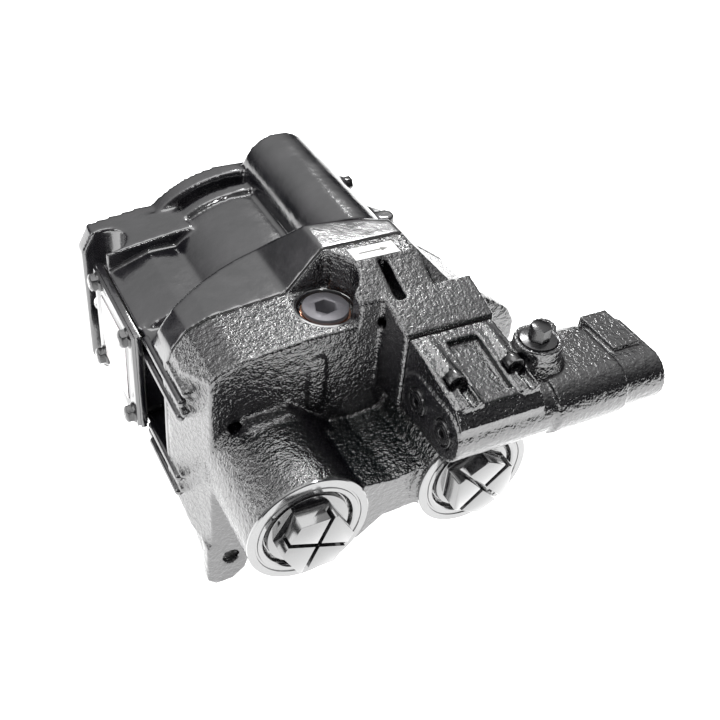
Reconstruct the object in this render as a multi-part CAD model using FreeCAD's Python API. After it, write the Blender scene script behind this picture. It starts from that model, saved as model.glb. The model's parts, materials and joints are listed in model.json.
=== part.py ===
import FreeCAD, Part
import math
import os

V = FreeCAD.Vector

# An axial piston pump with a tilting swashplate, in millimetres.
# The shaft lies along Y and the mounting face is the plane y = 0. The shaft end points to +Y, the rear
# cover and its two ports point to -Y, the control valve is on the +X side, and +Z is up.

# Driving dimensions
pilot_r = 76.2
pilot_len = 12.7
flange_t = 15.0
bolt_x = 114.3
bolt_hole_r = 10.3
ear_x = 130.0
ear_block_x = 119.0
bolt_pocket_r = 15.5
bolt_seat_r = 17.0
arch_r = 102.0
barrel_r = 92.0
neck_r = 86.0
joint_y = -178.0
gasket_t = 0.8
rear_y = -232.0
servo_x = 40.0
servo_z = 95.0
servo_r = 32.5
servo_bore_r = 18.0
cavity_r = 72.0
side_x = -119.0
side_y = -83.0
side_z = 7.0
side_half_y = 48.0
side_half_z = 43.0
cover_left = -105.0
joint_left = -118.0
cover_right = 102.0
port_x = 64.5
port_boss_r = 44.0
port_face_y = -305.0
port_bore_r = 22.5
port_recess_r = 33.0
port_recess_d = 5.0
drain_x = -9.0
drain_y = -203.0
drain_z = 98.0
drain_head_r = 16.6
valve_face_y = -263.0
valve_left = 22.0
valve_right = 193.0
spool_y = (-284.0, -317.0)
spool_z = 66.0
spool_bore_r = 8.0
low_screw_z = 50.5
ball_y = -95.0
piston_circle_r = 42.0
piston_r = 10.9
piston_count = 9
run_gap = 0.3
stop_face_x = 70.5
stop_y = -72.0
hump_top = 128.5
label_y = -200.6
cradle_r = 46.0
cradle_shell = 2.2
rib_heights = (50.0, 34.0, -34.0, -51.0)
cover_rib_ends = ((60.0, -212.0), (39.0, -208.0), (-29.0, -199.0), (-46.0, -197.0))

parts = {}


def cyl(axis, r, low, high, a=0.0, b=0.0):
    """A cylinder along one axis; a and b are the centre on the other two axes, in X, Y, Z order."""
    place = {"x": V(low, a, b), "y": V(a, low, b), "z": V(a, b, low)}[axis]
    way = {"x": V(1, 0, 0), "y": V(0, 1, 0), "z": V(0, 0, 1)}[axis]
    return Part.makeCylinder(r, high - low, place, way)


def ring(axis, r_in, r_out, low, high, a=0.0, b=0.0):
    return cyl(axis, r_out, low, high, a, b).cut(cyl(axis, r_in, low - 1, high + 1, a, b))


def box(x0, x1, y0, y1, z0, z1):
    return Part.makeBox(x1 - x0, y1 - y0, z1 - z0, V(x0, y0, z0))


def prism_y(points, y0, y1):
    """An outline of (x, z) points, carried from y0 to y1."""
    corners = [V(x, y0, z) for x, z in points]
    return Part.Face(Part.makePolygon(corners + corners[:1])).extrude(V(0, y1 - y0, 0))


def prism_x(points, x0, x1):
    """An outline of (y, z) points, carried from x0 to x1."""
    corners = [V(x0, y, z) for y, z in points]
    return Part.Face(Part.makePolygon(corners + corners[:1])).extrude(V(x1 - x0, 0, 0))


def prism_z(points, z0, z1):
    """An outline of (x, y) points, carried from z0 to z1."""
    corners = [V(x, y, z0) for x, y in points]
    return Part.Face(Part.makePolygon(corners + corners[:1])).extrude(V(0, 0, z1 - z0))


def hexagon(axis, across_flats, low, high, a=0.0, b=0.0, turn=0.0):
    r = across_flats / math.sqrt(3)
    corners = []
    for i in range(6):
        angle = math.radians(60 * i + turn)
        corners.append((a + r * math.cos(angle), b + r * math.sin(angle)))
    return {"x": prism_x, "y": prism_y, "z": prism_z}[axis](corners, low, high)


def slot_y(x, z, half_len, r, y0, y1):
    """A round-ended pad, upright, carried from y0 to y1."""
    pad = box(x - r, x + r, y0, y1, z - half_len, z + half_len)
    return fuse(pad, cyl("y", r, y0, y1, x, z - half_len), cyl("y", r, y0, y1, x, z + half_len))


def ball(r, x, y, z):
    return Part.makeSphere(r, V(x, y, z))


def cone_y(r0, r1, y0, y1, x=0.0, z=0.0):
    return Part.makeCone(r0, r1, y1 - y0, V(x, y0, z), V(0, 1, 0))


def cone_z(r0, r1, z0, z1, x=0.0, y=0.0):
    return Part.makeCone(r0, r1, z1 - z0, V(x, y, z0), V(0, 0, 1))


def fuse(first, *others):
    return first.fuse(list(others)).removeSplitter() if others else first


def cut(body, *tools):
    return body.cut(list(tools)).removeSplitter()


def around(count, start=0.0):
    """Angles of things spaced evenly round the shaft, measured from +X towards +Z."""
    return [math.radians(start + 360.0 * i / count) for i in range(count)]


# Outlines

def joint_outline(grow=0.0):
    """The face where the housing and the rear cover meet, with the hump over the servo cylinder."""
    g = grow
    left = joint_left - g
    return [
        (left, -52), (left + 6, -80), (left + 22, -97 - g), (cover_right - 9, -97 - g),
        (cover_right + g, -88), (cover_right + g, 94), (76 + g, 113 + g), (61, hump_top + g),
        (-2, hump_top + g), (-28 - g, 98 + g), (-84, 92 + g), (-101, 85 + g), (left + 5, 70), (left, 50),
    ]


# The housing

def housing_blend():
    """Carries the flat joint outline over to the round barrel, its corners drawn in by a cone."""
    full = prism_y(joint_outline(), joint_y, joint_y + 66)
    return full.common(cone_y(162, barrel_r, joint_y - 1, joint_y + 66))


def flange_plate():
    """Two bolt ears joined by a round arch."""
    right = [(60, 80), (126, 30), (ear_x, 22), (ear_x, -52), (121, -69), (78, -76)]
    left = [(-78, -76), (-121, -69), (-ear_x, -52), (-ear_x, 52), (-121, 69), (-78, 76)]
    ears = prism_y(right + left, -flange_t, 0)
    return fuse(ears, cyl("y", arch_r, -flange_t, 0))


def side_block(sign, reach, middle):
    """The flat-sided shoulder that fairs into the barrel; middle is the height of its centre."""
    low, high = middle - 46, middle + 46
    outline = [(sign * reach, low), (sign * reach, high), (sign * 86, high + 13), (sign * 55, high + 13),
               (sign * 55, low - 16), (sign * 86, low - 16)]
    return prism_y(outline, -128, -35.5)


def ear_block(sign, corner_z, shoulder):
    """The thick part behind a flange ear, level with the ear's top edge and hollowed for the bolt head."""
    outline = [(sign * ear_block_x, -69.3), (sign * ear_block_x, corner_z), shoulder, (sign * 50, 80),
               (sign * 50, -80), (sign * 78, -76)]
    block = prism_y(outline, -49, -flange_t + 1)
    pocket_y = -flange_t - bolt_pocket_r
    near, far = sorted((sign * bolt_x, sign * (ear_x + 10)))
    pocket = fuse(box(near, far, pocket_y - bolt_pocket_r, -flange_t, -80, 80),
                  cyl("z", bolt_pocket_r, -80, 80, sign * bolt_x, pocket_y))
    return cut(block, pocket)


def housing_outside():
    body = fuse(
        housing_blend(),
        cyl("y", barrel_r, joint_y + 5, -38),
        cyl("y", neck_r, -39, -14),
        cyl("y", arch_r - 7, -34, -22),
        cyl("y", servo_r, joint_y, -8, servo_x, servo_z),
        box(servo_x - servo_r, servo_x + servo_r, joint_y, -10, 50, servo_z),
        flange_plate(),
        ear_block(-1, 69.3, (-78, 76)), ear_block(1, 35.3, (60, 80)),
        side_block(-1, -side_x, side_z), side_block(1, 104, 0),
    )
    stop_boss = cyl("x", 7, servo_x + 20, stop_face_x, stop_y, 108)
    shelf = prism_y([(60, 70), (60, 104), (76, 104), (90, 97), (90, 70)], joint_y, -100)
    shelf_boss = cyl("z", 7, 80, 104, 84, -118)
    return fuse(body, cyl("y", pilot_r, -1, pilot_len), stop_boss, shelf, shelf_boss)


def housing_inside():
    """The room for the rotating group, the arm slot, the servo bore and the bearing seats."""
    arm_slot = box(servo_x - 13, servo_x + 13, -142, -62, 40, servo_z)
    window = box(side_x - 1, -60, -113, -53, -23, 37)
    return [
        cyl("y", cavity_r, joint_y - 1, -52),
        cyl("y", 46, -60, -36.5),
        cyl("y", 40, -37, -14),
        cyl("y", 30, -15, pilot_len + 1),
        cyl("y", servo_bore_r, joint_y - 1, -20, servo_x, servo_z),
        arm_slot, window,
        box(servo_x - 0.5, servo_x + 1, -148, -110, servo_z + servo_r - 1.6, servo_z + servo_r + 1),
        box(servo_x - 0.5, servo_x + 1, joint_y + 4, -156, servo_z + servo_r - 1.6, servo_z + servo_r + 1),
        cyl("x", 4.2, servo_x + servo_bore_r - 2, 90, stop_y, 108),
        cyl("x", 7.5, stop_face_x, 90, stop_y, 108),
    ]


def side_pocket_post():
    """The upright round post that stands in the pocket behind the side cover."""
    return cyl("z", 6, -56, 56, -92, -158)


def make_housing():
    body = cut(housing_outside(), *housing_inside())
    body = cut(body, box(joint_left - 1, -84, joint_y + 7, -124, -57, 56))
    body = fuse(body, side_pocket_post(), *(housing_ribs() + cradle_seats()))
    tools = [cyl("y", bolt_hole_r, -60, 5, -bolt_x, 0), cyl("y", bolt_hole_r, -60, 5, bolt_x, 0)]
    tools += [cyl("y", bolt_seat_r, -35, -flange_t, sign * bolt_x, 0) for sign in (-1, 1)]
    tools += [cyl("x", 4.2, side_x - 1, side_x + 16, y, z) for y, z in side_screw_places()]
    tools += [cyl("y", 5.3, joint_y - 1, joint_y + 20, x, z) for x, z in cover_screw_places()]
    tools += [cyl("x", cradle_r + cradle_shell + run_gap, -51, 51, ball_y, 0), cyl("y", cavity_r, joint_y - 1, -56)]
    tools += [cyl("y", 40, -37, -14), cyl("y", 30.0, -60, -36)]
    return cut(body, *tools)


# The side cover

def side_screw_places():
    return [(side_y + dy, side_z + dz) for dy in (-38, 38) for dz in (-37, 37)]


def side_slab(x0, x1, grow=0.0):
    """A slab of the side cover's outline, from x0 to x1."""
    half_y, half_z = side_half_y + grow, side_half_z + grow
    return box(x0, x1, side_y - half_y, side_y + half_y, side_z - half_z, side_z + half_z)


def make_side_cover():
    body = fuse(side_slab(side_x - 8, side_x - 1.2), side_slab(side_x - 5.5, side_x - 1.2, 1.5))
    return cut(body, *[cyl("x", 4.3, side_x - 20, side_x, y, z) for y, z in side_screw_places()])


def make_side_gasket():
    sheet = cut(side_slab(side_x - 1.2, side_x), box(side_x - 2, side_x + 1, -113, -53, -23, 37))
    return cut(sheet, *[cyl("x", 4.3, side_x - 20, side_x + 1, y, z) for y, z in side_screw_places()])


def make_side_screws():
    """Four flanged hexagon screws."""
    face = side_x - 8
    screws = []
    for y, z in side_screw_places():
        washer = Part.makeCone(8.6, 7.2, 1.6, V(face, y, z), V(-1, 0, 0))
        head = hexagon("x", 13.0, face - 7.2, face - 1.4, y, z, 15)
        dome = Part.makeSphere(11.0, V(face + 3.0, y, z))
        shank = cyl("x", 4.0, face - 1, side_x + 14, y, z)
        screws.append(fuse(washer, head.common(dome), shank))
    return Part.makeCompound(screws)


def make_nameplate():
    return box(side_x - 8.8, side_x - 8, side_y - 29, side_y + 29, side_z - 30, side_z + 30)


# The rear cover

def cover_screw_places():
    return [(-86, 49), (66, 112), (-86, -74), (92, -84), (92, 74), (0, -88)]


def port_block():
    """Both port bosses and the web that joins them."""
    left = cyl("y", port_boss_r, port_face_y, rear_y + 4, -port_x, 0)
    right = cyl("y", port_boss_r, port_face_y, rear_y + 4, port_x, 0)
    web = prism_y([(-port_x, -34), (-22, -34), (-4, -19), (34, -17), (port_x, -22),
                   (port_x, 28), (34, 20), (0, 16), (-34, 20), (-port_x, 28)], port_face_y + 5, rear_y + 4)
    root = prism_y([(-92, -52), (92, -52), (92, 40), (62, 44), (45, 18), (-8, 10), (-50, 46),
                    (-80, 44), (-96, 20)], rear_y - 12, rear_y + 4)
    return fuse(left, right, web, root)


def valve_pad():
    side = [(rear_y + 4, 42), (valve_face_y, 43.5), (valve_face_y, 106), (rear_y - 14, 112), (rear_y + 4, 117)]
    return prism_x(side, 20, 90)


def hump_pads():
    left = prism_x([(rear_y, 88), (rear_y, 115), (label_y - 1, hump_top), (-194, 122), (-194, 100)], 2, 29)
    right = prism_x([(rear_y - 1, 88), (rear_y - 1, 115), (label_y - 1, hump_top - 1), (-194, 100)], 35, 61)
    return fuse(left, right)


def lower_ear():
    outline = [(cover_left - 4, -80), (cover_left - 4, -119), (cover_left + 2, -125), (cover_left + 17, -125),
               (cover_left + 27, -116), (cover_left + 32, -96), (cover_left + 32, -80)]
    plate = prism_y(outline, rear_y, rear_y + 12)
    web = prism_x([(rear_y, -90), (rear_y, -122), (rear_y + 12, -119), (joint_y - 1, -95), (joint_y - 1, -90)],
                  cover_left, cover_left + 10)
    return fuse(plate, web)


def upper_ear():
    return prism_y([(92, 34), (92, 96), (101, 97), (114, 89), (129, 78), (136, 66), (137, 50), (130, 38)],
                   rear_y, rear_y + 12)


def side_ribs():
    """Round-ended ribs on the left face of the cover."""
    ribs = []
    for z, end_y in cover_rib_ends:
        ribs.append(box(joint_left + 0.5, cover_left + 4, end_y, joint_y - gasket_t, z - 3.2, z + 3.2))
        ribs.append(cyl("x", 3.2, joint_left + 0.5, cover_left + 4, end_y, z))
    return ribs


def housing_ribs():
    """Bars that cross the pocket between the side cover and the joint."""
    return [box(joint_left + 0.5, -70, joint_y, -122, z - 3.2, z + 3.2) for z in rib_heights]


def cover_passages():
    """The two main passages, the bearing seat, the plug seat and the tapped holes."""
    tools = []
    for sign in (-1, 1):
        x = sign * port_x
        tools.append(cyl("y", port_bore_r, port_face_y - 1, -222, x, 0))
        tools.append(cyl("y", port_recess_r, port_face_y - 1, port_face_y + port_recess_d, x, 0))
        tools.append(ball(port_bore_r - 0.4, x, -222, 0))
        start = V(x, -222, 0)
        run = V(sign * 43 - x, joint_y + 1 + 222, 0)
        tools.append(Part.makeCylinder(13, run.Length, start, run))
    tools.append(cyl("y", 23.5, -203, joint_y + 1))
    tools.append(cyl("z", 13.3, drain_z - 34, drain_z + 8, drain_x, drain_y))
    tools.append(cyl("z", 20.8, drain_z - 5.5, drain_z + 60, drain_x, drain_y))
    tools += [cyl("y", 5.2, joint_y - 24, joint_y + 1, x, z) for x, z in cover_screw_places()]
    tools += [cyl("y", 4.6, rear_y - 3, rear_y + 16, -87, 36), cyl("y", 4.2, rear_y - 3, rear_y + 14, 22, 97)]
    tools.append(cyl("y", 6.2, rear_y - 1, rear_y + 13, -90, -98))
    tools.append(cyl("y", 5.2, rear_y - 1, rear_y + 13, 120, 58))
    tools += [cyl("y", 3.4, valve_face_y - 1, valve_face_y + 22, x, z) for x, z in valve_screw_places()]
    tools += [cyl("y", 3.0, valve_face_y - 1, valve_face_y + 30, x, 66) for x in (44, 68)]
    tools.append(box(29, 36, rear_y - 2, label_y - 1, 104, 140))
    return tools


def cover_side_taper():
    """What is taken off the left side, so that it leans in from the joint to the rear face."""
    return prism_z([(joint_left - 0.5, joint_y - 4), (cover_left, rear_y), (cover_left, rear_y - 1),
                    (joint_left - 9, rear_y - 1), (joint_left - 9, joint_y - 4)], -99, 99)


def cover_hump_slope():
    """What is taken off the hump: its slope down to the rear, and the clear space round the drain plug."""
    slope = prism_x([(rear_y - 8, 140), (rear_y - 8, 106), (rear_y, 109), (label_y, hump_top), (label_y, 140)],
                    -60, 110)
    clearing = box(-45, 2, rear_y - 8, joint_y - 3, drain_z - 0.5, 140)
    return slope, clearing


def make_rear_cover():
    slab = prism_y(joint_outline(), rear_y, joint_y - gasket_t)
    slab = cut(slab, cover_side_taper(), *cover_hump_slope())
    body = fuse(
        slab, port_block(), valve_pad(), hump_pads(), lower_ear(), upper_ear(),
        slot_y(-28, 58, 17, 6, rear_y - 2.2, rear_y + 2), *side_ribs(),
    )
    return cut(body, *cover_passages())


def make_gasket():
    sheet = prism_y(joint_outline(-0.6), joint_y - gasket_t, joint_y)
    holes = [cyl("y", 5.4, joint_y - 5, joint_y + 5, x, z) for x, z in cover_screw_places()]
    return cut(sheet, cyl("y", cavity_r, joint_y - 5, joint_y + 5), *holes)


def make_cover_screws():
    """Screws run in from the housing side, and their ends sit in the tapped holes."""
    screws = []
    for x, z in cover_screw_places():
        screws.append(cyl("y", 5.0, joint_y - 22, joint_y + 19, x, z))
    return Part.makeCompound(screws)


def make_rotation_label():
    return box(13.3, 48, label_y, label_y + 14.1, hump_top, hump_top + 0.35)


# Plugs

def make_drain_plug():
    head = cyl("z", drain_head_r, drain_z - 4.3, drain_z, drain_x, drain_y)
    stem = cyl("z", 13.0, drain_z - 26, drain_z - 4, drain_x, drain_y)
    socket = hexagon("z", 14.3, drain_z - 13, drain_z + 1, drain_x, drain_y, 12)
    return cut(fuse(head, stem), socket)


def make_drain_seal():
    return ring("z", 13.2, 17.8, drain_z - 5.5, drain_z - 4.3, drain_x, drain_y)


def make_port_plug(sign, hexagon_turn, slot_turn):
    """A moulded shipping plug: hollow stem, flange and a hexagon with crossed slots."""
    x = sign * port_x
    face = port_face_y + port_recess_d
    stem = cyl("y", port_bore_r - run_gap, face - 1, face + 22, x, 0)
    flange = cyl("y", port_recess_r - 3.5, face - 4.5, face - 0.3, x, 0)
    head = hexagon("y", 45.0, face - 20, face - 4, x, 0, hexagon_turn)
    hollow = cyl("y", port_bore_r - 3.5, face + 1, face + 23, x, 0)
    slots = []
    for turn in (slot_turn, slot_turn + 90):
        slot = box(-40, 40, face - 23, face - 10, -1.6, 1.6)
        slot.rotate(V(0, 0, 0), V(0, 1, 0), turn)
        slot.translate(V(x, 0, 0))
        slots.append(slot)
    return cut(fuse(stem, flange, head), hollow, *slots)


# The control valve

def valve_screw_places():
    return [(x, z) for x in (35.0, 80.0) for z in (96.5, low_screw_z)]


def stadium(x0, x1, r):
    low, high = spool_y[1], spool_y[0]
    return fuse(cyl("x", r, x0, x1, low, spool_z), cyl("x", r, x0, x1, high, spool_z),
                box(x0, x1, low, high, spool_z - r, spool_z + r))


def valve_outside():
    foot = prism_x([(valve_face_y - 0.8, 44.6), (valve_face_y - 0.8, 104), (-285, 101), (-325, 92),
                    (-334, 82), (-334, 60), (-318, 44.6)], valve_left + 1, 88)
    tail = stadium(valve_left, valve_right, 19.5)
    cheeks = []
    for x in (35.0, 80.0):
        rib = cyl("y", 8.0, -327, valve_face_y - 0.8, x, 96.5)
        rib.rotate(V(x, valve_face_y, 96.5), V(1, 0, 0), 6)
        cheeks += [rib]
    boss = cyl("z", 17, 70, 106, 103, -297)
    boss_foot = cone_z(24, 17, 80, 96, 103, -297)
    side_boss = cyl("z", 9, 70, 97, 124, -277)
    tail_pad = box(163, 186, -309, -270, 80, 89)
    band = stadium(100, 158, 21.8)
    return fuse(foot, tail, boss, boss_foot, side_boss, tail_pad, band, *cheeks)


def valve_holes():
    tools = [cyl("x", spool_bore_r, valve_left + 18, 150, y, spool_z) for y in spool_y]
    tools += [cyl("x", 10.2, valve_left - 1, valve_left + 20, y, spool_z) for y in spool_y]
    for x, z in valve_screw_places():
        low = z == low_screw_z
        tools.append(cyl("y", 3.6, -350, valve_face_y, x, z))
        tools.append(cyl("y", 5.3 if low else 7.2, -345 if low else -311, -299, x, z))
    tools.append(cyl("z", 6.2, 88, 110, 103, -297))
    tools.append(cyl("z", 13.5, 104.6, 112, 103, -297))
    window = prism_x([(-273, 120), (-273, 97.5), (-320, 87.5), (-320, 120)], 45.5, 69.5)
    tools.append(window)
    return tools


def make_valve_body():
    behind = box(0, 200, valve_face_y - 0.8, valve_face_y + 20, 0, 140)
    return cut(valve_outside(), behind, *valve_holes())


def make_valve_gasket():
    sheet = box(24, 88, valve_face_y - 0.8, valve_face_y, 44.6, 103)
    holes = [cyl("y", 4.4, valve_face_y - 5, valve_face_y + 5, x, z) for x, z in valve_screw_places()]
    holes += [cyl("y", 3.2, valve_face_y - 5, valve_face_y + 5, x, 66) for x in (44, 68)]
    return cut(sheet, *holes)


def make_valve_screws():
    """Four socket-head cap screws."""
    screws = []
    for x, z in valve_screw_places():
        head = cyl("y", 5.0 if z == low_screw_z else 6.5, -307, -299, x, z)
        shank = cyl("y", 3.3, -300, valve_face_y + 18, x, z)
        socket = hexagon("y", 5.0, -308, -303, x, z)
        screws.append(cut(fuse(head, shank), socket))
    return Part.makeCompound(screws)


def make_adjusting_plug(y):
    thread = cyl("x", 9.9, valve_left + 2, valve_left + 17, y, spool_z)
    head = cyl("x", 9.9, valve_left - 1.5, valve_left + 2, y, spool_z)
    grooves = ring("x", 7.2, 8.6, valve_left - 2, valve_left - 0.6, y, spool_z)
    socket = hexagon("x", 6.0, valve_left - 2, valve_left + 4, y, spool_z)
    return cut(fuse(thread, head), grooves, socket)


def make_spool(y):
    """A spool with three lands."""
    x0 = valve_left + 50
    lands = [cyl("x", spool_bore_r - 0.03, x0 + a, x0 + b, y, spool_z) for a, b in ((0, 14), (26, 40), (54, 66))]
    waist = cyl("x", 4.2, x0, x0 + 66, y, spool_z)
    nose = cyl("x", 3.0, x0 - 6, x0, y, spool_z)
    return fuse(waist, nose, *lands)


def coil(r, wire_r, length, turns, place, way):
    """A round-wire compression spring."""
    path = Part.makeHelix(length / turns, length, r)
    section = Part.Wire([Part.makeCircle(wire_r, V(r, 0, 0), V(0, 1, 0))])
    spring = Part.Wire(path).makePipeShell([section], True, True)
    spring.Placement = FreeCAD.Placement(place, FreeCAD.Rotation(V(0, 0, 1), way))
    return spring


def make_spool_spring(y):
    return coil(5.2, 0.9, 18.0, 5, V(valve_left + 22.4, y, spool_z), V(1, 0, 0))


def make_spring_seat(y):
    disc = cyl("x", 7.6, valve_left + 41.6, valve_left + 43.8, y, spool_z)
    return disc


def make_test_plug():
    """The hexagon-head screw plug on the round boss of the valve."""
    washer = cyl("z", 12.6, 104.6, 106.2, 103, -297)
    head = hexagon("z", 13.0, 106.2, 117.0, 103, -297, 10)
    dome = Part.makeSphere(16, V(103, -297, 102.5))
    stem = cyl("z", 6.0, 90, 105, 103, -297)
    return fuse(washer, head.common(dome), stem)


def make_stop_screw():
    head = hexagon("x", 10.0, stop_face_x, stop_face_x + 5.5, stop_y, 108)
    stem = cyl("x", 4.0, servo_x + servo_bore_r, stop_face_x + 0.5, stop_y, 108)
    return fuse(head, stem)


# The shaft and its bearings

def make_shaft():
    core = fuse(
        cyl("y", 15.0, -203, -176), cyl("y", 16.5, -176, -110), cyl("y", 19.0, -110, -38),
        cyl("y", 20.0, -38, -1), cyl("y", 14.2, -1, 56),
    )
    grooves = []
    teeth = []
    for angle in around(14):
        tooth = prism_y([(13.0, -1.9), (15.4, -1.3), (15.4, 1.3), (13.0, 1.9)], 18, 55)
        tooth.rotate(V(0, 0, 0), V(0, 1, 0), math.degrees(angle))
        teeth.append(tooth)
    for angle in around(12):
        tooth = prism_y([(15.5, -1.8), (18.3, -1.3), (18.3, 1.3), (15.5, 1.8)], -168, -122)
        tooth.rotate(V(0, 0, 0), V(0, 1, 0), math.degrees(angle))
        grooves.append(tooth)
    return fuse(core, *(teeth + grooves))


def make_front_bearing_cup():
    return cut(cyl("y", 40, -37, -16), cone_y(30, 35, -38, -15))


def make_front_cone_and_rollers():
    cone = cut(cone_y(22.5, 25.5, -36.5, -16.5), cyl("y", 20.0, -40, -10))
    rollers = [cyl("y", 2.2, -35, -18.5, 28.2 * math.cos(a), 28.2 * math.sin(a)) for a in around(16)]
    return Part.makeCompound([cone] + rollers)


def make_rear_bearing():
    return ring("y", 15.0 + 0.05, 23.5, -202.5, -182)


def make_shaft_seal():
    shell = ring("y", 24, 30, -11, -2)
    lip = ring("y", 20.1, 24.5, -6, -4)
    return fuse(shell, lip)


def make_retaining_ring():
    return cut(ring("y", 26, 29.9, 0, 2), box(-4, 4, -1, 3, 20, 40))


# The rotating group

def piston_places():
    return [(piston_circle_r * math.cos(a), piston_circle_r * math.sin(a)) for a in around(piston_count, 75)]


def make_cylinder_block():
    body = fuse(cyl("y", 58.0, -172, -117), cyl("y", 30.0, -118, -110))
    bores = [cyl("y", 11.0, -167, -100, x, z) for x, z in piston_places()]
    kidneys = [cyl("y", 6.0, -173, -160, x, z) for x, z in piston_places()]
    spline = []
    for angle in around(12):
        groove = prism_y([(15.5, -1.95), (18.45, -1.45), (18.45, 1.45), (15.5, 1.95)], -200, -100)
        groove.rotate(V(0, 0, 0), V(0, 1, 0), math.degrees(angle))
        spline.append(groove)
    return cut(body, cyl("y", 16.6, -200, -100), cyl("y", 22.0, -152, -125), *(bores + kidneys + spline))


def make_piston(x, z):
    body = cyl("y", piston_r, -153, ball_y - 14, x, z)
    neck = cone_y(7.6, 4.6, ball_y - 14, ball_y - 5, x, z)
    tip = ball(7.5, x, ball_y, z)
    return cut(fuse(body, neck, tip), cyl("y", 7.0, -154, -125, x, z))


def make_slipper(x, z):
    pad = cyl("y", 13.0, ball_y + 4.0, ball_y + 8.0, x, z)
    cup = cyl("y", 10.5, ball_y - 3.6, ball_y + 4.0, x, z)
    hollow = ball(7.5 + 0.1, x, ball_y, z)
    throat = cone_y(12.0, 6.0, ball_y - 6.0, ball_y + 0.2, x, z)
    pocket = ring("y", 4.0, 9.0, ball_y + 7.2, ball_y + 9, x, z)
    return cut(fuse(pad, cup), hollow, throat, pocket)


def make_retainer_plate():
    disc = cyl("y", 57.5, ball_y + 0.9, ball_y + 3.6)
    holes = [cyl("y", 12.9, ball_y - 5, ball_y + 9, x, z) for x, z in piston_places()]
    return cut(disc, cyl("y", 22.3, ball_y - 5, ball_y + 9), *holes)


def make_retainer_ball():
    body = ball(22.0, 0, ball_y, 0).common(cyl("y", 30, ball_y - 14.5, ball_y + 7))
    return cut(body, cyl("y", 19.05, -140, -60))


def make_block_spring():
    return coil(20.2, 1.1, 24.0, 4, V(0, -150.5, 0), V(0, 1, 0))


def make_valve_plate():
    plate = cyl("y", 58.0, joint_y + 0.0, -172.1)
    ports = []
    for start in (-62, 118):
        for i in range(6):
            angle = math.radians(start + i * 124 / 5.0)
            ports.append(cyl("y", 5.6, -180, -170, 42.5 * math.cos(angle), 42.5 * math.sin(angle)))
    return cut(plate, cyl("y", 18.0, -180, -170), *ports)


# The swashplate and what moves it

def make_swashplate():
    """A cradle swashplate: flat face to the slippers, two round runners and the servo arm."""
    face = ball_y + 8.25
    disc = cyl("y", 57.0, face, face + 14)
    runners = fuse(cyl("x", cradle_r, 26, 50, ball_y, 0), cyl("x", cradle_r, -50, -26, ball_y, 0))
    runners = runners.common(box(-60, 60, face + 6, -40, -34, 34))
    arm = prism_x([(face + 1, 45), (face + 13, 45), (face + 13, 62), (-80, 70), (-90.5, 75), (-90.5, servo_z),
                   (-99.5, servo_z), (-99.5, 66), (-90, 61), (face + 1, 60)], servo_x - 7, servo_x + 7)
    tip = ball(8.0, servo_x, ball_y, servo_z)
    return cut(fuse(disc, runners, arm, tip), cone_y(25, 36, face - 1, -40))


def make_cradle_bearing(sign):
    x0, x1 = sorted((sign * 27, sign * 49))
    shell = ring("x", cradle_r + run_gap, cradle_r + cradle_shell + run_gap, x0, x1, ball_y, 0)
    return shell.common(box(-60, 60, -58, -40, -40, 40))


def cradle_seats():
    """The two seats inside the housing that carry the cradle bearings."""
    return [box(25, 51, -56, -36, -42, 42), box(-51, -25, -56, -36, -42, 42)]


def make_control_piston():
    tip_y = ball_y - 8.3
    body = cyl("y", servo_bore_r - 0.03, -148, tip_y - 6, servo_x, servo_z)
    nose = cone_y(servo_bore_r - 3, 10, tip_y - 6, tip_y, servo_x, servo_z)
    hollow = cyl("y", 12, -149, -122, servo_x, servo_z)
    return cut(fuse(body, nose), hollow)


def make_bias_piston():
    tip_y = ball_y + 8.3
    body = cyl("y", servo_bore_r - 0.03, tip_y + 5, -58, servo_x, servo_z)
    nose = cone_y(10, servo_bore_r - 3, tip_y, tip_y + 5, servo_x, servo_z)
    hollow = cyl("y", 14, tip_y + 9, -50, servo_x, servo_z)
    return cut(fuse(body, nose), hollow)


def make_bias_spring():
    return coil(11.0, 1.6, 50.0, 8, V(servo_x, -75.0, servo_z), V(0, 1, 0))


# Assembly

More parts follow.
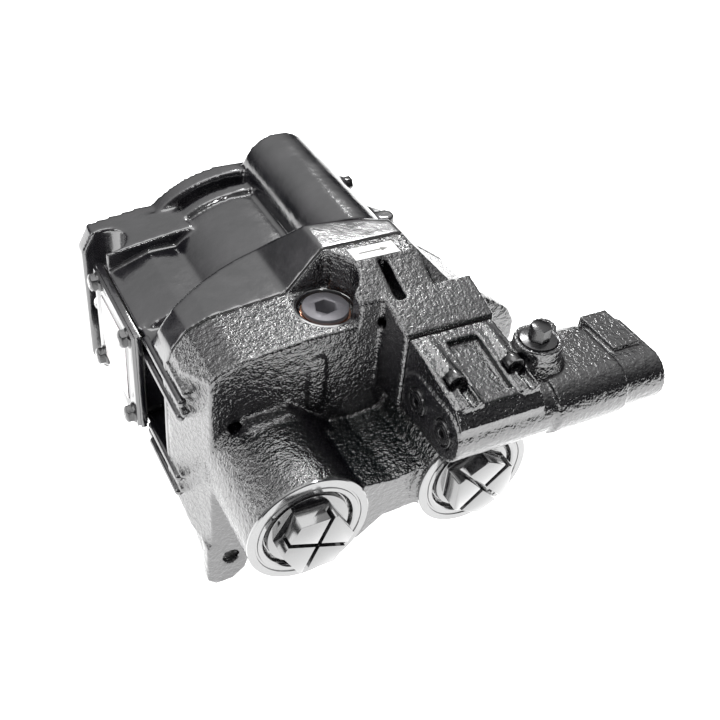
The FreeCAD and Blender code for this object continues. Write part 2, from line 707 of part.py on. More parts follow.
def build_all():
    parts["housing"] = make_housing()
    parts["rear_cover"] = make_rear_cover()
    parts["cover_gasket"] = make_gasket()
    parts["cover_screws"] = make_cover_screws()
    parts["side_cover"] = make_side_cover()
    parts["side_cover_gasket"] = make_side_gasket()
    parts["side_cover_screws"] = make_side_screws()
    parts["nameplate"] = make_nameplate()
    parts["rotation_label"] = make_rotation_label()
    parts["drain_plug"] = make_drain_plug()
    parts["drain_plug_seal"] = make_drain_seal()
    parts["suction_port_plug"] = make_port_plug(-1, 0, 22)
    parts["pressure_port_plug"] = make_port_plug(1, 30, 47)
    parts["control_valve_body"] = make_valve_body()
    parts["valve_gasket"] = make_valve_gasket()
    parts["valve_screws"] = make_valve_screws()
    for name, y in zip(("load_sense", "pressure_limit"), spool_y):
        parts[name + "_adjuster"] = make_adjusting_plug(y)
        parts[name + "_spool"] = make_spool(y)
        parts[name + "_spring"] = make_spool_spring(y)
        parts[name + "_spring_seat"] = make_spring_seat(y)
    parts["valve_test_plug"] = make_test_plug()
    parts["stroke_stop_screw"] = make_stop_screw()
    parts["drive_shaft"] = make_shaft()
    parts["front_bearing_cup"] = make_front_bearing_cup()
    parts["front_bearing_cone_and_rollers"] = make_front_cone_and_rollers()
    parts["rear_bearing"] = make_rear_bearing()
    parts["shaft_seal"] = make_shaft_seal()
    parts["seal_retaining_ring"] = make_retaining_ring()
    parts["cylinder_block"] = make_cylinder_block()
    parts["retainer_plate"] = make_retainer_plate()
    parts["retainer_ball"] = make_retainer_ball()
    parts["block_spring"] = make_block_spring()
    parts["valve_plate"] = make_valve_plate()
    for i, (x, z) in enumerate(piston_places(), 1):
        parts["piston_%d" % i] = make_piston(x, z)
        parts["slipper_%d" % i] = make_slipper(x, z)
    parts["swashplate"] = make_swashplate()
    parts["cradle_bearings"] = Part.makeCompound([make_cradle_bearing(-1), make_cradle_bearing(1)])
    parts["control_piston"] = make_control_piston()
    parts["bias_piston"] = make_bias_piston()
    parts["bias_spring"] = make_bias_spring()


build_all()
os.makedirs("parts", exist_ok=True)
for node, shape in parts.items():
    if not shape.isValid():
        print("not valid:", node)
    shape.exportStep("parts/%s.step" % node)
    print(node, len(shape.Solids), "solids", round(shape.Volume / 1000.0, 1), "cm3")
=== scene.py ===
import bpy
import json
import math
from mathutils import Matrix, Vector


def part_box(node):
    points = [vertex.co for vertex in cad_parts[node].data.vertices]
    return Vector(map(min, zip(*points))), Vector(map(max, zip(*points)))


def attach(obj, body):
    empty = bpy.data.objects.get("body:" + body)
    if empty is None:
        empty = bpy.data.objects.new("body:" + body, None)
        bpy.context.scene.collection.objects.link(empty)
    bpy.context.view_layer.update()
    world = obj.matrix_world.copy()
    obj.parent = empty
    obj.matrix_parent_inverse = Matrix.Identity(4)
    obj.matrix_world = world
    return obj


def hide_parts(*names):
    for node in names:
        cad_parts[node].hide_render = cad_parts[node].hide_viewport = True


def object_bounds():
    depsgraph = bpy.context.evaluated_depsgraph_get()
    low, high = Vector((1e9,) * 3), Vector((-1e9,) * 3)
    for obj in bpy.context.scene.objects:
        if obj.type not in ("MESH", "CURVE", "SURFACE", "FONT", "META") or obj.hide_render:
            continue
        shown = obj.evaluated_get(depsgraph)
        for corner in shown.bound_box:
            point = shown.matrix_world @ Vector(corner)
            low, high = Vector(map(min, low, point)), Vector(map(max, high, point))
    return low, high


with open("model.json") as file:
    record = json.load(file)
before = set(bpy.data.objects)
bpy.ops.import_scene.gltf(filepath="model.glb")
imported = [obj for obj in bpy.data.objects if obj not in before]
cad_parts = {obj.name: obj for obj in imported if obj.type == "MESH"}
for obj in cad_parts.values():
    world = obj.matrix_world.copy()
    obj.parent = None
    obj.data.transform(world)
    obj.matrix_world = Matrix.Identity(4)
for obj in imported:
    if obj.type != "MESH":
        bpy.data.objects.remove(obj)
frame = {"nodes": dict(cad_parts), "record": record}
cadLow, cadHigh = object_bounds()
nodes = frame["nodes"]
mm = 0.001
flatAngle = math.radians(2)  # faces that meet flatter than this are joined into one
copyMerge = 0.02 * mm  # vertices of a copied node that are nearer than this become one
ringMerge = 0.01 * mm

# Tools that every piece uses


def clearSelection():
    if bpy.context.object and bpy.context.object.mode != "OBJECT":
        bpy.ops.object.mode_set(mode="OBJECT")
    bpy.ops.object.select_all(action="DESELECT")


def pick(piece):
    clearSelection()
    piece.select_set(True)
    bpy.context.view_layer.objects.active = piece
    return piece


def named(name):  # the primitive just added, with its place put into its mesh
    piece = bpy.context.object
    piece.name = name
    bpy.ops.object.transform_apply(location=True, rotation=True, scale=True)
    return piece


def applyModifiers(piece):
    pick(piece)
    for modifier in list(piece.modifiers):
        bpy.ops.object.modifier_apply(modifier=modifier.name)
    return piece


def editAll(piece):
    pick(piece)
    bpy.ops.object.mode_set(mode="EDIT")
    bpy.ops.mesh.select_all(action="SELECT")


def selectWhere(piece, mode, test):  # selects the faces or vertices whose centre and normal pass the test
    bpy.ops.object.mode_set(mode="OBJECT")
    mesh = piece.data
    for group in (mesh.vertices, mesh.edges, mesh.polygons):
        group.foreach_set("select", [False] * len(group))
    if mode == "FACE":
        for face in mesh.polygons:
            face.select = test(face.center, face.normal)
    else:
        for vertex in mesh.vertices:
            vertex.select = test(vertex.co, vertex.normal)
    bpy.ops.object.mode_set(mode="EDIT")
    bpy.ops.mesh.select_mode(type=mode)


def copyOfNode(node, name):  # a merged copy of a CAD node's mesh, to be shaped further
    piece = bpy.data.objects.new(name, nodes[node].data.copy())
    bpy.context.scene.collection.objects.link(piece)
    piece.data.materials.clear()
    editAll(piece)
    bpy.ops.mesh.remove_doubles(threshold=copyMerge)
    bpy.ops.object.mode_set(mode="OBJECT")
    return piece


def smoothByAngle(piece, degrees):
    pick(piece)
    bpy.ops.object.shade_smooth_by_angle(angle=math.radians(degrees))
    return piece


def settle(piece, body, material, slot, *replaced):  # gives a finished piece its material and body
    if not piece.data.materials:
        piece.data.materials.append(material)
    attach(piece, body)
    if replaced:
        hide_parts(*replaced)
    return piece


# Materials. A noise is its scale, detail and roughness; a relief is its depth in millimetres and its strength

noiseSpan = (0.3, 0.7)  # nearly all of a noise's values lie between these


def newMaterial(name, color, metallic, roughness, ior=1.5, coat=0.0):
    material = bpy.data.materials.new(name)
    material.use_nodes = True
    shader = material.node_tree.nodes["Principled BSDF"]
    shader.inputs["Base Color"].default_value = (*color, 1.0)
    shader.inputs["Metallic"].default_value = metallic
    shader.inputs["Roughness"].default_value = roughness
    shader.inputs["IOR"].default_value = ior
    shader.inputs["Coat Weight"].default_value = coat
    shader.inputs["Coat Roughness"].default_value = 0.08
    return material


def objectPoint(tree, scale=(1.0, 1.0, 1.0)):
    coordinate = tree.nodes.new("ShaderNodeTexCoord")
    mapping = tree.nodes.new("ShaderNodeMapping")
    mapping.inputs["Scale"].default_value = scale
    tree.links.new(coordinate.outputs["Object"], mapping.inputs["Vector"])
    return mapping.outputs["Vector"]


def noise(tree, point, scale, detail, roughness=0.55):
    node = tree.nodes.new("ShaderNodeTexNoise")
    node.inputs["Scale"].default_value = scale
    node.inputs["Detail"].default_value = detail
    node.inputs["Roughness"].default_value = roughness
    tree.links.new(point, node.inputs["Vector"])
    return node.outputs["Fac"]


def spread(tree, value, fromLow, fromHigh, toLow=0.0, toHigh=1.0):
    node = tree.nodes.new("ShaderNodeMapRange")
    node.inputs["From Min"].default_value = fromLow
    node.inputs["From Max"].default_value = fromHigh
    node.inputs["To Min"].default_value = toLow
    node.inputs["To Max"].default_value = toHigh
    tree.links.new(value, node.inputs["Value"])
    return node.outputs["Result"]


def colorBetween(tree, value, low, high):
    node = tree.nodes.new("ShaderNodeMix")
    node.data_type = "RGBA"
    node.inputs["A"].default_value = (*low, 1.0)
    node.inputs["B"].default_value = (*high, 1.0)
    tree.links.new(value, node.inputs["Factor"])
    return node.outputs["Result"]


def relief(tree, value, depth, strength, before=None):
    node = tree.nodes.new("ShaderNodeBump")
    node.inputs["Distance"].default_value = depth * mm
    node.inputs["Strength"].default_value = strength
    tree.links.new(value, node.inputs["Height"])
    if before is not None:
        tree.links.new(before, node.inputs["Normal"])
    return node.outputs["Normal"]


def finishShader(material, color, roughness, normal):
    tree = material.node_tree
    shader = tree.nodes["Principled BSDF"]
    for value, socket in ((color, "Base Color"), (roughness, "Roughness"), (normal, "Normal")):
        if value is not None:
            tree.links.new(value, shader.inputs[socket])
    return material


def smoothPaint():  # black paint over a fine casting: nearly smooth, with a slow orange-peel wave
    look = {"color": (0.005, 0.005, 0.007), "dusty": (0.016, 0.015, 0.018), "dust": (38.0, 3.0),
            "dustSpan": (0.4, 0.7), "roughness": (0.10, 0.24), "ior": 2.1, "grain": (900.0, 2.0),
            "grainRelief": (0.06, 0.6), "peel": (160.0, 2.0), "peelRelief": (0.5, 0.35)}
    material = newMaterial("smoothPaint", look["color"], 0.0, 0.2, look["ior"])
    tree = material.node_tree
    point = objectPoint(tree)
    dust = noise(tree, point, *look["dust"])
    grain = noise(tree, point, *look["grain"])
    peel = noise(tree, point, *look["peel"])
    color = colorBetween(tree, spread(tree, dust, *look["dustSpan"]), look["color"], look["dusty"])
    roughness = spread(tree, dust, *noiseSpan, *look["roughness"])
    normal = relief(tree, grain, *look["grainRelief"])
    normal = relief(tree, peel, *look["peelRelief"], normal)
    return finishShader(material, color, roughness, normal)


def sandCastPaint(name, pitting):  # glossy black paint over a coarse sand casting, which sparkles
    look = {"color": (0.003, 0.003, 0.004), "worn": (0.014, 0.013, 0.016), "wornSpan": (0.5, 0.75),
            "roughness": (0.04, 0.13), "ior": 2.1, "pits": (620.0, 2.0, 0.5), "pitDepth": 0.62,
            "pitStrength": 0.9, "lumps": (260.0, 2.0), "lumpDepth": 1.1, "lumpStrength": 0.8,
            "cloud": (30.0, 3.0)}
    material = newMaterial(name, look["color"], 0.0, 0.2, look["ior"])
    tree = material.node_tree
    point = objectPoint(tree)
    pits = noise(tree, point, *look["pits"])
    lumps = noise(tree, point, *look["lumps"])
    cloud = noise(tree, point, *look["cloud"])
    color = colorBetween(tree, spread(tree, pits, *look["wornSpan"]), look["color"], look["worn"])
    roughness = spread(tree, cloud, *noiseSpan, *look["roughness"])
    normal = relief(tree, pits, look["pitDepth"] * pitting, look["pitStrength"])
    normal = relief(tree, lumps, look["lumpDepth"] * pitting, look["lumpStrength"], normal)
    return finishShader(material, color, roughness, normal)


def machinedPaint():  # painted over a turned face, so it is flat and mirror-like
    look = {"color": (0.03, 0.03, 0.032), "pale": (0.07, 0.07, 0.072), "paleSpan": (0.4, 0.7),
            "roughness": (0.06, 0.18), "ior": 2.6, "coat": 0.6, "cloud": (120.0, 4.0), "relief": (0.1, 0.3)}
    material = newMaterial("machinedPaint", look["color"], 0.0, 0.1, look["ior"], look["coat"])
    tree = material.node_tree
    cloud = noise(tree, objectPoint(tree), *look["cloud"])
    color = colorBetween(tree, spread(tree, cloud, *look["paleSpan"]), look["color"], look["pale"])
    roughness = spread(tree, cloud, *noiseSpan, *look["roughness"])
    return finishShader(material, color, roughness, relief(tree, cloud, *look["relief"]))


def blackScrewSteel():  # blackened, with the black rubbed through in spots
    look = {"color": (0.005, 0.005, 0.006), "worn": (0.08, 0.08, 0.085), "wornSpan": (0.6, 0.74),
            "metallic": 0.1, "roughness": (0.12, 0.32), "ior": 1.8, "scuff": (260.0, 5.0, 0.65),
            "relief": (0.2, 0.5)}
    material = newMaterial("blackScrewSteel", look["color"], look["metallic"], 0.2, look["ior"])
    tree = material.node_tree
    scuff = noise(tree, objectPoint(tree), *look["scuff"])
    color = colorBetween(tree, spread(tree, scuff, *look["wornSpan"]), look["color"], look["worn"])
    roughness = spread(tree, scuff, *noiseSpan, *look["roughness"])
    return finishShader(material, color, roughness, relief(tree, scuff, *look["relief"]))


def satinOxide():  # the pale oxide film on the drain plug
    look = {"color": (0.20, 0.195, 0.21), "dark": (0.14, 0.135, 0.15), "metallic": 0.3,
            "roughness": (0.32, 0.45), "ior": 1.6, "film": (420.0, 4.0, 0.6), "relief": (0.03, 0.4)}
    material = newMaterial("satinOxide", look["color"], look["metallic"], 0.4, look["ior"])
    tree = material.node_tree
    film = noise(tree, objectPoint(tree), *look["film"])
    color = colorBetween(tree, film, look["dark"], look["color"])
    roughness = spread(tree, film, *noiseSpan, *look["roughness"])
    return finishShader(material, color, roughness, relief(tree, film, *look["relief"]))


def mouldedPlastic():  # glossy black, with faint flow marks across the mould
    look = {"color": (0.006, 0.006, 0.007), "pale": (0.016, 0.016, 0.018), "paleSpan": (0.35, 0.7),
            "roughness": (0.10, 0.2), "ior": 2.2, "coat": 1.0, "flow": (90.0, 3.0),
            "flowStretch": (1.0, 0.25, 1.0), "grain": (1500.0, 2.0), "relief": (0.04, 0.4)}
    material = newMaterial("mouldedPlastic", look["color"], 0.0, 0.15, look["ior"], look["coat"])
    tree = material.node_tree
    flow = noise(tree, objectPoint(tree, look["flowStretch"]), *look["flow"])
    grain = noise(tree, objectPoint(tree), *look["grain"])
    color = colorBetween(tree, spread(tree, flow, *look["paleSpan"]), look["color"], look["pale"])
    roughness = spread(tree, flow, *noiseSpan, *look["roughness"])
    return finishShader(material, color, roughness, relief(tree, grain, *look["relief"]))


def groundSteel(name, color, roughness, stretch):  # ground or turned, with fine marks across the stretch
    look = {"marks": (700.0, 3.0, 0.6), "dark": 0.82, "bright": 1.12, "rough": (0.75, 1.3),
            "relief": (0.05, 0.4)}
    material = newMaterial(name, color, 1.0, roughness)
    tree = material.node_tree
    marks = noise(tree, objectPoint(tree, stretch), *look["marks"])
    dark = tuple(c * look["dark"] for c in color)
    bright = tuple(min(1.0, c * look["bright"]) for c in color)
    tone = colorBetween(tree, marks, dark, bright)
    rough = spread(tree, marks, *noiseSpan, *(roughness * share for share in look["rough"]))
    return finishShader(material, tone, rough, relief(tree, marks, *look["relief"]))


def printedPlate(name, color, shade, roughness, metallic):  # brushed along Z
    look = {"brushed": (1200.0, 2.0), "stretch": (1.0, 1.0, 0.04), "rough": (0.8, 1.2), "relief": (0.02, 0.3)}
    material = newMaterial(name, color, metallic, roughness)
    tree = material.node_tree
    brushed = noise(tree, objectPoint(tree, look["stretch"]), *look["brushed"])
    tone = colorBetween(tree, brushed, shade, color)
    rough = spread(tree, brushed, *noiseSpan, *(roughness * share for share in look["rough"]))
    return finishShader(material, tone, rough, relief(tree, brushed, *look["relief"]))


def mattSheet(name, color, pale, roughness):  # gasket sheet, ink and seal rubber: fibrous, with no shine
    look = {"fibre": (500.0, 4.0), "stretch": (1.0, 3.0, 1.0), "relief": (0.1, 0.5)}
    material = newMaterial(name, color, 0.0, roughness)
    tree = material.node_tree
    fibre = noise(tree, objectPoint(tree, look["stretch"]), *look["fibre"])
    tone = colorBetween(tree, fibre, color, pale)
    return finishShader(material, tone, None, relief(tree, fibre, *look["relief"]))


paint = smoothPaint()
coverPaint = sandCastPaint("coverPaint", 1.0)
valvePaint = sandCastPaint("valvePaint", 0.8)
facePaint = machinedPaint()
screwSteel = blackScrewSteel()
oxide = satinOxide()
plastic = mouldedPlastic()
steel = groundSteel("groundSteel", (0.56, 0.56, 0.57), 0.26, (1.0, 0.08, 1.0))
springSteel = groundSteel("springSteel", (0.36, 0.36, 0.38), 0.32, (1.0, 1.0, 1.0))
bronze = groundSteel("bearingBronze", (0.66, 0.44, 0.22), 0.34, (1.0, 0.1, 1.0))
copper = groundSteel("softCopper", (0.80, 0.42, 0.28), 0.22, (1.0, 1.0, 0.2))
plateMetal = printedPlate("plateMetal", (0.88, 0.84, 0.85), (0.80, 0.76, 0.77), 0.34, 0.15)
labelFilm = printedPlate("labelFilm", (0.92, 0.92, 0.91), (0.88, 0.88, 0.87), 0.4, 0.0)
labelInk = mattSheet("labelInk", (0.16, 0.16, 0.15), (0.24, 0.24, 0.23), 0.6)
gasketSheet = mattSheet("gasketSheet", (0.012, 0.012, 0.012), (0.03, 0.03, 0.028), 0.8)
sealRubber = mattSheet("sealRubber", (0.02, 0.018, 0.016), (0.04, 0.035, 0.03), 0.55)
print("materials made")

nodeSmooth = 30  # in degrees
slotMaterials = {
    "cast_black": paint, "rough_black": coverPaint, "black_screw": screwSteel, "gasket": gasketSheet,
    "plate": plateMetal, "label": labelFilm, "black_plastic": plastic, "copper": copper, "steel": steel,
    "bronze": bronze, "spring_steel": springSteel, "seal_rubber": sealRubber,
}
nodeSlots = {entry["node"]: entry["material_slot"] for entry in frame["record"]["subparts"]}
for node, slot in nodeSlots.items():
    nodes[node].data.materials.clear()
    nodes[node].data.materials.append(slotMaterials[slot])
    smoothByAngle(nodes[node], nodeSmooth)
print("CAD nodes painted")

bodyOf = {node: body for body, members in frame["record"]["behaviour"]["bodies"].items() for node in members}

# The castings

castSkin = {"reach": 2.0, "flatShare": 0.25, "smoothing": 0.5, "waveDetail": 3}  # the reach is in millimetres
castings = {  # voxel, wave and wave size in millimetres
    "housing": {"name": "housingCasting", "voxel": 1.6, "rounds": 6, "wave": 0.15, "waveSize": 9.0,
                "most": 190000},
    "rear_cover": {"name": "coverCasting", "voxel": 1.4, "rounds": 5, "wave": 0.55, "waveSize": 3.5,
                   "most": 190000},
    "control_valve_body": {"name": "valveCasting", "voxel": 1.0, "rounds": 4, "wave": 0.45, "waveSize": 3.0,
                           "most": 150000},
}


def castWeight(point, planes):  # 0 on a machined plane, rising to 1 away from it
    near = min(abs(point[axis] - value) for axis, value in planes)
    return max(0.0, min(1.0, near / (castSkin["reach"] * mm) - castSkin["flatShare"]))


def castFrom(node, look, planes):  # a sharp body made into a casting: soft corners, a wave, flat joints
    piece = copyOfNode(node, look["name"])
    remesh = piece.modifiers.new("remesh", "REMESH")
    remesh.mode = "VOXEL"
    remesh.voxel_size = look["voxel"] * mm
    remesh.adaptivity = 0.0
    applyModifiers(piece)
    group = piece.vertex_groups.new(name="cast")
    for vertex in piece.data.vertices:
        group.add([vertex.index], castWeight(vertex.co, planes), "REPLACE")
    soften = piece.modifiers.new("soften", "SMOOTH")
    soften.factor = castSkin["smoothing"]
    soften.iterations = look["rounds"]
    soften.vertex_group = "cast"
    cloud = bpy.data.textures.new(look["name"] + "Wave", "CLOUDS")
    cloud.noise_scale = look["waveSize"] * mm
    cloud.noise_depth = castSkin["waveDetail"]
    ripple = piece.modifiers.new("ripple", "DISPLACE")
    ripple.texture = cloud
    ripple.texture_coords = "LOCAL"
    ripple.strength = look["wave"] * mm
    ripple.mid_level = 0.5
    ripple.vertex_group = "cast"
    applyModifiers(piece)
    triangles = len(piece.data.polygons) * 2
    if triangles > look["most"]:
        thin = piece.modifiers.new("thin", "DECIMATE")
        thin.ratio = look["most"] / triangles
        applyModifiers(piece)
    piece.vertex_groups.clear()
    pick(piece)
    bpy.ops.object.shade_smooth()
    print(look["name"], "triangles", sum(len(face.vertices) - 2 for face in piece.data.polygons))
    return piece


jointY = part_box("cover_gasket")[1].y
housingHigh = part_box("housing")[1]
coverLow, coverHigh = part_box("rear_cover")
valveLow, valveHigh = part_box("control_valve_body")
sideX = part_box("side_cover_gasket")[1].x
flatPlanes = {  # the machined planes of each, as axis and place
    "housing": [(1, jointY), (1, 0.0), (1, housingHigh.y), (0, sideX)],
    "rear_cover": [(1, coverHigh.y), (1, coverLow.y)],
    "control_valve_body": [(1, valveHigh.y), (0, valveLow.x), (0, valveHigh.x)],
}
for node, material in (("housing", paint), ("rear_cover", coverPaint), ("control_valve_body", valvePaint)):
    casting = castFrom(node, castings[node], flatPlanes[node])
    settle(casting, "casing", material, nodeSlots[node], node)
print("castings made")

# Plugs, screws and covers, with their edges broken

edgeCut = {"segments": 2, "corner": 40, "smooth": 32}  # the corner and smoothing angles are in degrees
brokenEdges = {  # width of the broken edge on each, in millimetres
    "side_cover": 1.2, "side_cover_screws": 0.5, "drain_plug": 0.9, "suction_port_plug": 0.7,
    "pressure_port_plug": 0.7, "load_sense_adjuster": 0.4, "pressure_limit_adjuster": 0.4,
    "valve_test_plug": 0.5, "stroke_stop_screw": 0.5, "valve_screws": 0.5,
}


def breakEdges(node, width):
    words = node.split("_")
    piece = copyOfNode(node, words[0] + "".join(word.capitalize() for word in words[1:]))
    editAll(piece)
    bpy.ops.mesh.dissolve_limited(angle_limit=flatAngle)
    bpy.ops.object.mode_set(mode="OBJECT")
    soft = piece.modifiers.new("soft", "BEVEL")
    soft.width = width * mm
    soft.segments = edgeCut["segments"]
    soft.limit_method = "ANGLE"
    soft.angle_limit = math.radians(edgeCut["corner"])
    soft.use_clamp_overlap = True
    applyModifiers(piece)
    smoothByAngle(piece, edgeCut["smooth"])
    material = oxide if node == "drain_plug" else slotMaterials[nodeSlots[node]]
    return settle(piece, bodyOf[node], material, nodeSlots[node], node)


for node, width in brokenEdges.items():
    breakEdges(node, width)
print("edges broken")

# The turned faces of the two ports, and the lip that the drain plug stands in

portFace = {  # radius and depth behind the face, in millimetres, once round the section
    "section": [(44.3, 1.0), (44.3, -0.4), (43.7, -0.9), (38.8, -0.9), (38.4, -0.15), (37.2, -0.15),
                (36.8, -0.9), (34.2, -0.9), (33.4, -0.4), (32.9, 0.2), (32.9, 4.6), (30.2, 4.6),
                (30.2, 5.4), (34.0, 5.4), (34.0, 1.0)],
    "sides": 128, "smooth": 28,
}
drainLip = {  # radius and height over the seat, in millimetres, once round the section
    "section": [(20.3, 0.0), (20.3, 4.2), (20.8, 5.0), (22.0, 5.4), (23.0, 4.9), (23.4, 3.5), (23.4, 0.0)],
    "sides": 96, "smooth": 40,
}


def turned(name, centre, look, axis):  # a ring round Y (axis 1) or Z (axis 2), pushed out from one circle
    radius, depth = look["section"][0]
    along = Vector((0.0, 0.0, 0.0))
    along[axis] = mm
    bpy.ops.mesh.primitive_circle_add(vertices=look["sides"], radius=radius * mm, fill_type="NOTHING",
                                      location=centre + along * depth,
                                      rotation=(math.radians(90) if axis == 1 else 0.0, 0.0, 0.0))
    piece = named(name)
    editAll(piece)
    for nextRadius, nextDepth in look["section"][1:] + look["section"][:1]:
        step = tuple(along * (nextDepth - depth))
        bpy.ops.mesh.extrude_region_move(TRANSFORM_OT_translate={"value": step})
        grow = [nextRadius / radius] * 3
        grow[axis] = 1.0
        bpy.ops.transform.resize(value=grow, center_override=centre)
        radius, depth = nextRadius, nextDepth
    bpy.ops.mesh.select_all(action="SELECT")
    bpy.ops.mesh.remove_doubles(threshold=ringMerge)
    bpy.ops.mesh.normals_make_consistent(inside=False)
    return smoothByAngle(piece, look["smooth"])


for name, mount in (("suctionPortFace", "suction_port"), ("pressurePortFace", "pressure_port")):
    place = next(m["pos_m"] for m in frame["record"]["mounts"] if m["name"] == mount)
    settle(turned(name, Vector(place), portFace, 1), "casing", facePaint, "rough_black")
print("port faces turned")

sealLow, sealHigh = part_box("drain_plug_seal")
seat = Vector(((sealLow.x + sealHigh.x) / 2, (sealLow.y + sealHigh.y) / 2, sealLow.z))
settle(turned("drainPlugLip", seat, drainLip, 2), "casing", facePaint, "rough_black")
print("lip turned")

# The round-ended bars on the left side, across the pocket and over the joint

sideBars = {"heights": (50.0, 34.0, -34.0, -51.0), "coverEnds": (-212.0, -208.0, -199.0, -197.0),
            "front": -133.0, "inset": 0.7, "radius": 3.5, "sides": 32, "rounding": 3.2, "segments": 6,
            "smooth": 40}


def makeSideBar(index, height, coverEnd):
    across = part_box("cover_gasket")[0].x + sideBars["inset"] * mm
    length = (sideBars["front"] - coverEnd) * mm
    middle = (sideBars["front"] + coverEnd) / 2 * mm
    bpy.ops.mesh.primitive_cylinder_add(vertices=sideBars["sides"], radius=sideBars["radius"] * mm,
                                        depth=length, location=(across, middle, height * mm),
                                        rotation=(math.radians(90), 0.0, 0.0))
    piece = named("sideBar%d" % index)
    rounded = piece.modifiers.new("rounded", "BEVEL")
    rounded.width = sideBars["rounding"] * mm
    rounded.segments = sideBars["segments"]
    rounded.limit_method = "ANGLE"
    applyModifiers(piece)
    smoothByAngle(piece, sideBars["smooth"])
    return settle(piece, "casing", paint, "cast_black")


for index, (height, coverEnd) in enumerate(zip(sideBars["heights"], sideBars["coverEnds"]), 1):
    makeSideBar(index, height, coverEnd)
print("bars made")

# The printed arrow on the label and the border on the nameplate

arrow = {"length": 17.0, "width": 1.3, "head": 4.5, "headLength": 5.5, "shift": 3.0, "lift": 0.04,
         "endWithin": 0.1, "point": 0.02}  # in millimetres, but the point is a share of the head's width


def makeArrow():
    low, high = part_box("rotation_label")
    middle = (low + high) / 2
    centreX = middle.x - arrow["shift"] * mm
    bpy.ops.mesh.primitive_plane_add(size=1.0, location=(centreX, middle.y, high.z + arrow["lift"] * mm))
    bpy.context.object.scale = (arrow["length"] * mm, arrow["width"] * mm, 1.0)
    piece = named("labelArrow")
    tip = centreX + arrow["length"] / 2 * mm
    tipPoint = (tip, middle.y, high.z)
    selectWhere(piece, "EDGE", lambda point, normal: point.x > tip - arrow["endWithin"] * mm)
    bpy.ops.mesh.extrude_region_move(TRANSFORM_OT_translate={"value": (0.0, 0.0, 0.0)})
    bpy.ops.transform.resize(value=(1.0, arrow["head"] / arrow["width"], 1.0), center_override=tipPoint)
    forward = (arrow["headLength"] * mm, 0.0, 0.0)
    bpy.ops.mesh.extrude_region_move(TRANSFORM_OT_translate={"value": forward})
    bpy.ops.transform.resize(value=(1.0, arrow["point"], 1.0), center_override=tipPoint)
    bpy.ops.mesh.select_all(action="SELECT")
    bpy.ops.mesh.dissolve_degenerate(threshold=0.001 * mm)
    bpy.ops.object.mode_set(mode="OBJECT")
    thick = piece.modifiers.new("thick", "SOLIDIFY")
    thick.thickness = 2 * arrow["lift"] * mm
    thick.offset = 0.0
    applyModifiers(piece)
    return settle(piece, "casing", labelInk, "label")


plateBorder = {"margin": 3.0, "line": 0.8, "faceWithin": 0.05, "lineWithin": 0.3}  # in millimetres


def makePlate():
    piece = copyOfNode("nameplate", "ratingPlate")
    editAll(piece)
    bpy.ops.mesh.dissolve_limited(angle_limit=flatAngle)
    piece.data.materials.append(plateMetal)
    piece.data.materials.append(labelInk)
    low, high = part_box("nameplate")
    face = low.x + plateBorder["faceWithin"] * mm
    selectWhere(piece, "FACE", lambda point, normal: point.x < face)
    bpy.ops.mesh.inset(thickness=plateBorder["margin"] * mm, depth=0.0)
    bpy.ops.mesh.inset(thickness=plateBorder["line"] * mm, depth=0.0)
    bpy.ops.object.mode_set(mode="OBJECT")
    inwards = (plateBorder["margin"] + plateBorder["line"] / 2) * mm
    reach = (high.y - low.y) / 2 - inwards
    height = (high.z - low.z) / 2 - inwards
    middle = (low + high) / 2
    within = plateBorder["lineWithin"] * mm
    for polygon in piece.data.polygons:
        away = polygon.center - middle
        onLine = abs(abs(away.y) - reach) < within or abs(abs(away.z) - height) < within
        if onLine and polygon.center.x < face:
            polygon.material_index = 1
    return settle(piece, "casing", plateMetal, "plate", "nameplate")


makeArrow()
makePlate()
print("label and plate made")

# Stage

studio = {
    "floorSize": 8.0, "floorGap": 0.2, "floorColor": (0.9, 0.9, 0.9), "floorGlow": 1.9,
    "middle": (0.0, -0.12, 0.0), "sky": (0.05, 1.3), "skyHeights": (0.15, 0.85),
    "cameraSide": (0.25, 1.0), "sideSpan": (-0.5, 0.5),
    "lamps": {  # place, size and radiance
        "roof": ((0.0, 0.1, 1.5), (1.1, 1.1), 2.6),
        "left": ((-1.6, 0.2, 0.7), (1.2, 0.9), 3.0),
        "glint": ((0.7, 1.0, 1.3), (0.28, 0.28), 34.0),
        "front": ((-0.1, -1.5, 1.5), (0.3, 0.3), 16.0),
    },
}
view = {"place": (-0.2728, -0.6897, 0.5053), "lens": 49.71, "sensor": 36.0,
        "right": (0.88425, -0.45986, 0.08139), "up": (0.23715, 0.59230, 0.77003)}


def areaLight(name, place, target, size, radiance):
    light = bpy.data.lights.new(name, "AREA")
    light.shape = "RECTANGLE"
    light.size, light.size_y = size
    light.energy = math.pi * size[0] * size[1] * radiance
    lamp = bpy.data.objects.new(name, light)
    bpy.context.scene.collection.objects.link(lamp)
    lamp.location = place
    lamp.rotation_euler = (Vector(target) - Vector(place)).to_track_quat("-Z", "Y").to_euler()
    return lamp


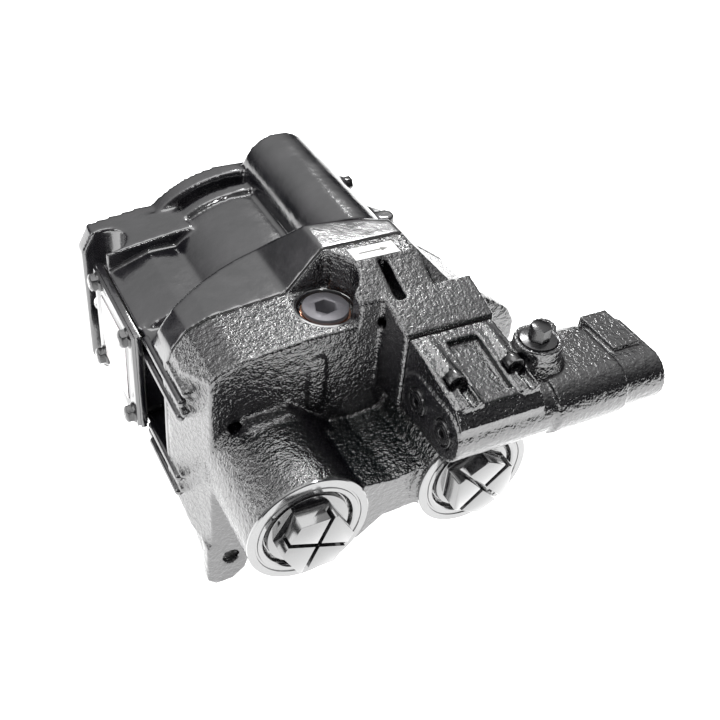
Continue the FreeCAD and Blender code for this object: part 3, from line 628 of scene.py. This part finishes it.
def makeFloor():
    floorZ = cadLow.z - studio["floorGap"] * mm
    bpy.ops.mesh.primitive_plane_add(size=studio["floorSize"], location=(0.0, 0.0, floorZ))
    floor = named("floor")
    white = newMaterial("floorWhite", studio["floorColor"], 0.0, 0.7)
    shader = white.node_tree.nodes["Principled BSDF"]
    shader.inputs["Emission Color"].default_value = (1.0, 1.0, 1.0, 1.0)
    shader.inputs["Emission Strength"].default_value = studio["floorGlow"]
    floor.data.materials.append(white)


def makeSky():  # dark at the horizon and dim towards -Y, bright overhead; plain white where it is seen
    world = bpy.data.worlds.new("tent")
    bpy.context.scene.world = world
    world.use_nodes = True
    tree = world.node_tree
    background = tree.nodes["Background"]
    coordinate = tree.nodes.new("ShaderNodeTexCoord")
    parts = tree.nodes.new("ShaderNodeSeparateXYZ")
    tree.links.new(coordinate.outputs["Generated"], parts.inputs["Vector"])
    height = spread(tree, parts.outputs["Z"], *studio["skyHeights"], *studio["sky"])
    side = spread(tree, parts.outputs["Y"], *studio["sideSpan"], *studio["cameraSide"])
    both = tree.nodes.new("ShaderNodeMath")
    both.operation = "MULTIPLY"
    tree.links.new(height, both.inputs[0])
    tree.links.new(side, both.inputs[1])
    path = tree.nodes.new("ShaderNodeLightPath")
    seen = tree.nodes.new("ShaderNodeMix")
    tree.links.new(path.outputs["Is Camera Ray"], seen.inputs["Factor"])
    tree.links.new(both.outputs["Value"], seen.inputs["A"])
    seen.inputs["B"].default_value = 1.0
    background.inputs["Color"].default_value = (1.0, 1.0, 1.0, 1.0)
    tree.links.new(seen.outputs["Result"], background.inputs["Strength"])


def makeCamera():
    camera = bpy.data.cameras.new("camera")
    camera.lens = view["lens"]
    camera.sensor_width = view["sensor"]
    eye = bpy.data.objects.new("camera", camera)
    bpy.context.scene.collection.objects.link(eye)
    right, up = Vector(view["right"]), Vector(view["up"])
    turn = Matrix((right, up, right.cross(up))).transposed().to_4x4()
    eye.matrix_world = Matrix.Translation(view["place"]) @ turn
    bpy.context.scene.camera = eye


makeFloor()
makeSky()
for name, (place, size, radiance) in studio["lamps"].items():
    areaLight(name + "Light", place, studio["middle"], size, radiance)
makeCamera()
bpy.context.scene.view_settings.view_transform = "Standard"
print("stage set")
